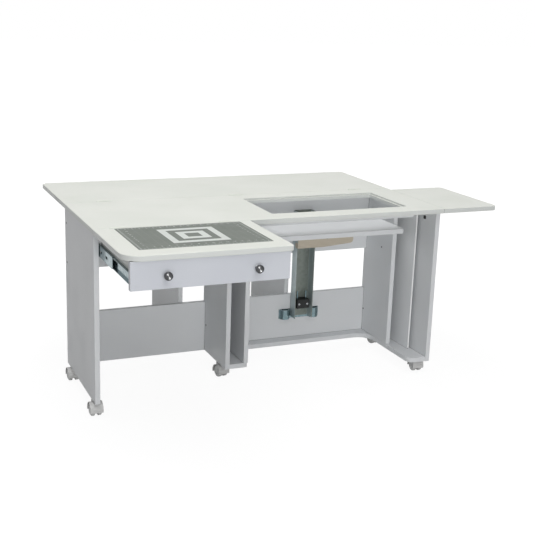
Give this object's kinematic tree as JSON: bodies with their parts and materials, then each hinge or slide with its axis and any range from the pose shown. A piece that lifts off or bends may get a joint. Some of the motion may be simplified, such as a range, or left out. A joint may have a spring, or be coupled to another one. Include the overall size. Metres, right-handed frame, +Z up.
{
  "type": "folding sewing cutting table",
  "caption": "Folding sewing cabinet table with a machine well and lift, fold-over rear leaf on gate legs, drop side leaf, mat leaf over a drawer, and twin-wheel casters.",
  "frame": {"origin": "on the floor under the middle of the opened table's box", "axes": "+X along the table's length towards the side leaf, +Y towards the rear leaf, +Z up"},
  "size_m": [1.6964, 1.327, 0.713],
  "materials": {
    "top_laminate": "off-white laminate on board",
    "white_melamine": "white melamine on board",
    "insert_board": "white thin board",
    "drawer_melamine": "cool white melamine on board",
    "drawer_box_board": "white drawer board",
    "mat_vinyl": "grey-green self-healing mat with printed grid",
    "dark_chrome": "dark polished chrome",
    "bright_zinc": "bright zinc plate",
    "dull_zinc": "dull zinc plate",
    "black_block": "black moulded block",
    "raw_timber": "raw sawn timber",
    "white_hinge": "off-white powder coat on steel",
    "hinge_steel": "nickel-plated steel",
    "foot_plastic": "grey moulded plastic",
    "caster_hood_plastic": "pale grey moulded plastic",
    "caster_wheel_plastic": "pale grey moulded plastic"
  },
  "bodies": {
    "carcass": {"main_top": "top_laminate", "left_end_panel": "white_melamine", "mid_leg_left_wall": "white_melamine", "mid_leg_right_wall": "white_melamine", "mid_leg_back": "white_melamine", "right_leg_inner_wall": "white_melamine", "right_leg_outer_wall": "white_melamine", "right_leg_back": "white_melamine", "left_modesty_panel": "white_melamine", "right_modesty_panel": "white_melamine", "upper_back_left": "white_melamine", "upper_back_right": "white_melamine", "drawer_divider": "white_melamine", "front_rail": "white_melamine", "base_board": "white_melamine", "insert_guide": "white_melamine", "lift_column": "dull_zinc", "lift_brackets": "bright_zinc", "lift_stop_block": "black_block", "lift_stop_studs": "bright_zinc", "slide_cabinet_members": "bright_zinc", "fold_hinge_fixed_flaps": "white_hinge", "carcass_hinge_flaps": "hinge_steel"},
    "drawer": {"drawer_front": "drawer_melamine", "drawer_left_side": "drawer_box_board", "drawer_right_side": "drawer_box_board", "drawer_back": "drawer_box_board", "drawer_floor": "drawer_box_board", "drawer_knobs": "dark_chrome", "slide_drawer_members": "bright_zinc"},
    "drawer_slide_middle": {"slide_middle_members": "bright_zinc"},
    "rear_leaf": {"rear_leaf": "top_laminate", "rear_leaf_hinge_flaps": "white_hinge"},
    "mat_leaf": {"mat_leaf": "top_laminate", "cutting_mat": "mat_vinyl", "mat_leaf_hinge_flaps": "white_hinge"},
    "right_leaf": {"right_leaf": "top_laminate", "right_leaf_hinge_flaps": "hinge_steel"},
    "gate_left": {"gate_left_panel": "white_melamine", "gate_left_foot": "foot_plastic", "gate_left_hinge_flaps": "hinge_steel"},
    "gate_right": {"gate_right_panel": "white_melamine", "gate_right_foot": "foot_plastic", "gate_right_hinge_flaps": "hinge_steel"},
    "lift": {"lift_carriage": "dull_zinc", "lift_arms": "dull_zinc", "lift_bearer": "raw_timber", "lift_angle_bracket": "dull_zinc", "lift_platform": "white_melamine"},
    "well_insert": {"well_insert": "insert_board"},
    "caster_left_front": {"caster_left_front_hood": "caster_hood_plastic"},
    "caster_left_front_wheels": {"caster_left_front_wheels": "caster_wheel_plastic"},
    "caster_left_rear": {"caster_left_rear_hood": "caster_hood_plastic"},
    "caster_left_rear_wheels": {"caster_left_rear_wheels": "caster_wheel_plastic"},
    "caster_mid_front": {"caster_mid_front_hood": "caster_hood_plastic"},
    "caster_mid_front_wheels": {"caster_mid_front_wheels": "caster_wheel_plastic"},
    "caster_right_front": {"caster_right_front_hood": "caster_hood_plastic"},
    "caster_right_front_wheels": {"caster_right_front_wheels": "caster_wheel_plastic"},
    "caster_right_rear": {"caster_right_rear_hood": "caster_hood_plastic"},
    "caster_right_rear_wheels": {"caster_right_rear_wheels": "caster_wheel_plastic"}
  },
  "joints": [
    {"name": "drawer_slide", "type": "slide", "parent": "carcass", "child": "drawer", "axis": [0, -1, 0], "range_m": [-0.396, 0]},
    {"name": "drawer_slide_middle", "type": "slide", "parent": "carcass", "child": "drawer_slide_middle", "axis": [0, -1, 0], "range_m": [-0.198, 0]},
    {"name": "rear_leaf_fold", "type": "hinge", "parent": "carcass", "child": "rear_leaf", "pos_m": [0, 0.225, 0.7104], "axis": [1, 0, 0], "range_deg": [0, 180]},
    {"name": "mat_leaf_lift", "type": "hinge", "parent": "carcass", "child": "mat_leaf", "pos_m": [-0.5435, -0.244, 0.7104], "axis": [-1, 0, 0], "range_deg": [0, 105]},
    {"name": "right_leaf_drop", "type": "hinge", "parent": "carcass", "child": "right_leaf", "pos_m": [0.59405, -0.0295, 0.6872], "axis": [0, 1, 0], "range_deg": [0, 90]},
    {"name": "gate_left_swing", "type": "hinge", "parent": "carcass", "child": "gate_left", "pos_m": [-0.37575, 0.217, 0.3455], "axis": [0, 0, 1], "range_deg": [0, 90]},
    {"name": "gate_right_swing", "type": "hinge", "parent": "carcass", "child": "gate_right", "pos_m": [0.13425, 0.217, 0.3455], "axis": [0, 0, -1], "range_deg": [0, 90]},
    {"name": "machine_lift", "type": "slide", "parent": "carcass", "child": "lift", "axis": [0, 0, 1], "range_m": [-0.19, 0.065]},
    {"name": "well_insert_slide", "type": "slide", "parent": "carcass", "child": "well_insert", "axis": [0, -1, 0], "range_m": [0, 0.25]},
    {"name": "caster_left_front_swivel", "type": "hinge", "parent": "carcass", "child": "caster_left_front", "pos_m": [-0.82425, -0.1865, 0.056], "axis": [0, 0, 1], "continuous": true},
    {"name": "caster_left_front_roll", "type": "hinge", "parent": "caster_left_front", "child": "caster_left_front_wheels", "pos_m": [-0.82425, -0.2025, 0.025], "axis": [1, 0, 0], "continuous": true},
    {"name": "caster_left_rear_swivel", "type": "hinge", "parent": "carcass", "child": "caster_left_rear", "pos_m": [-0.82425, 0.1545, 0.056], "axis": [0, 0, 1], "continuous": true},
    {"name": "caster_left_rear_roll", "type": "hinge", "parent": "caster_left_rear", "child": "caster_left_rear_wheels", "pos_m": [-0.82425, 0.1705, 0.025], "axis": [-1, 0, 0], "continuous": true},
    {"name": "caster_mid_front_swivel", "type": "hinge", "parent": "carcass", "child": "caster_mid_front", "pos_m": [-0.25025, 0.0405, 0.056], "axis": [0, 0, 1], "continuous": true},
    {"name": "caster_mid_front_roll", "type": "hinge", "parent": "caster_mid_front", "child": "caster_mid_front_wheels", "pos_m": [-0.24747, 0.02474, 0.025], "axis": [0.9848, 0.1736, 0], "continuous": true},
    {"name": "caster_right_front_swivel", "type": "hinge", "parent": "carcass", "child": "caster_right_front", "pos_m": [0.56125, -0.1515, 0.056], "axis": [0, 0, 1], "continuous": true},
    {"name": "caster_right_front_roll", "type": "hinge", "parent": "caster_right_front", "child": "caster_right_front_wheels", "pos_m": [0.55986, -0.16744, 0.025], "axis": [0.9962, -0.0872, 0], "continuous": true},
    {"name": "caster_right_rear_swivel", "type": "hinge", "parent": "carcass", "child": "caster_right_rear", "pos_m": [0.56125, 0.1825, 0.056], "axis": [0, 0, 1], "continuous": true},
    {"name": "caster_right_rear_roll", "type": "hinge", "parent": "caster_right_rear", "child": "caster_right_rear_wheels", "pos_m": [0.55847, 0.19826, 0.025], "axis": [-0.9848, -0.1736, 0], "continuous": true}
  ],
  "couplings": [
    {"joint": "drawer_slide_middle", "follows": "drawer_slide", "ratio": 0.5}
  ]
}
